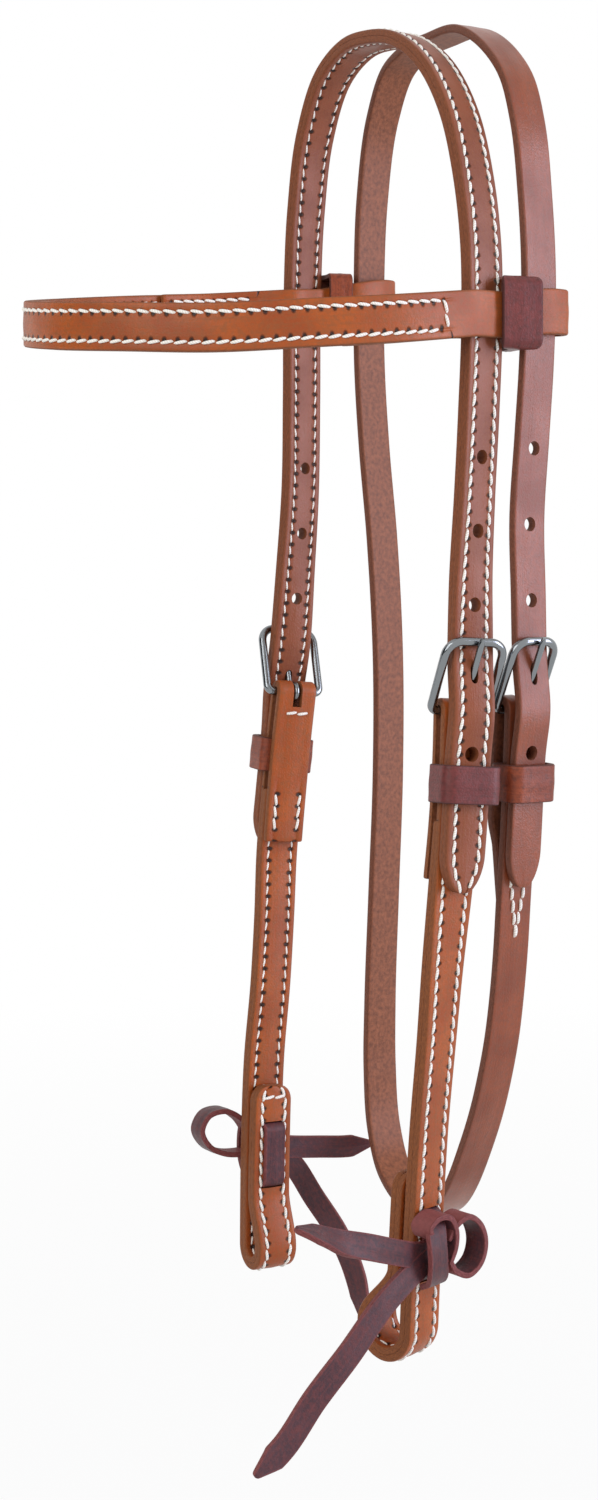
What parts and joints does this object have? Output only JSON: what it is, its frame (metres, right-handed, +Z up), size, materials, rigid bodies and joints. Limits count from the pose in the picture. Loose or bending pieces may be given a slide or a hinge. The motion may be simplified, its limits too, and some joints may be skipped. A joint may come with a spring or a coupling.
{
  "type": "browband headstall",
  "caption": "Western browband headstall: doubled crown and cheek straps, throat strap, browband, wire buckles, leather keepers and bit loops tied shut with thongs.",
  "frame": {"origin": "underside of the crown strap, midway between its legs, where the poll carries the headstall", "axes": "+Z up, the horse looks along -Y, its near (left) side is +X"},
  "size_m": [0.1586, 0.1785, 0.497],
  "materials": {
    "strap_leather": "oiled russet harness leather, grain side",
    "lining_leather": "russet harness leather lining, grain side out",
    "dark_leather": "oiled burgundy latigo",
    "thong_leather": "latigo thong",
    "steel": "polished wire"
  },
  "bodies": {
    "headstall": {"crown_outer_ply": "strap_leather", "crown_lining_ply": "lining_leather", "throat_strap": "strap_leather", "near_cheek_outer_ply": "strap_leather", "near_cheek_lining_ply": "lining_leather", "far_cheek_outer_ply": "strap_leather", "far_cheek_lining_ply": "lining_leather", "near_bit_tie": "thong_leather", "far_bit_tie": "thong_leather"},
    "browband": {"browband_outer_ply": "strap_leather", "browband_lining_ply": "lining_leather", "near_browband_wrap": "dark_leather", "far_browband_wrap": "dark_leather"},
    "near_buckle": {"near_cheek_buckle_frame": "steel"},
    "near_tongue": {"near_cheek_buckle_tongue": "steel"},
    "far_buckle": {"far_cheek_buckle_frame": "steel"},
    "far_tongue": {"far_cheek_buckle_tongue": "steel"},
    "throat_buckle": {"throat_buckle_frame": "steel"},
    "throat_tongue": {"throat_buckle_tongue": "steel"},
    "near_keeper": {"near_cheek_keeper": "dark_leather"},
    "far_keeper": {"far_cheek_keeper": "dark_leather"},
    "throat_keeper": {"throat_keeper": "dark_leather"}
  },
  "joints": [
    {"name": "browband_slide", "type": "slide", "parent": "headstall", "child": "browband", "axis": [0, 0, 1], "range_m": [-0.008, 0.004]},
    {"name": "near_buckle_tilt", "type": "hinge", "parent": "headstall", "child": "near_buckle", "pos_m": [0.0601, -0.00625, -0.24026], "axis": [0.0603, 0.9961, -0.0641], "range_deg": [0, 2]},
    {"name": "near_tongue_lift", "type": "hinge", "parent": "near_buckle", "child": "near_tongue", "pos_m": [0.0601, -0.00625, -0.24026], "axis": [0.0603, 0.9961, -0.0641], "range_deg": [0, 3]},
    {"name": "far_buckle_tilt", "type": "hinge", "parent": "headstall", "child": "far_buckle", "pos_m": [-0.0601, -0.00722, -0.24024], "axis": [-0.051, -0.9955, 0.0796], "range_deg": [0, 2]},
    {"name": "far_tongue_lift", "type": "hinge", "parent": "far_buckle", "child": "far_tongue", "pos_m": [-0.0601, -0.00722, -0.24024], "axis": [-0.051, -0.9955, 0.0796], "range_deg": [0, 3]},
    {"name": "throat_buckle_tilt", "type": "hinge", "parent": "headstall", "child": "throat_buckle", "pos_m": [0.05875, 0.01788, -0.2405], "axis": [-0.1394, 0.9901, -0.0182], "range_deg": [0, 2]},
    {"name": "throat_tongue_lift", "type": "hinge", "parent": "throat_buckle", "child": "throat_tongue", "pos_m": [0.05875, 0.01788, -0.2405], "axis": [-0.1394, 0.9901, -0.0182], "range_deg": [0, 3]},
    {"name": "near_keeper_slide", "type": "slide", "parent": "headstall", "child": "near_keeper", "axis": [-0.0418, 0.0808, 0.9959], "range_m": [-0.006, 0.006]},
    {"name": "far_keeper_slide", "type": "slide", "parent": "headstall", "child": "far_keeper", "axis": [0.0418, 0.0899, 0.9951], "range_m": [-0.006, 0.006]},
    {"name": "throat_keeper_slide", "type": "slide", "parent": "headstall", "child": "throat_keeper", "axis": [0.0324, 0.0252, 0.9992], "range_m": [-0.006, 0.006]}
  ]
}
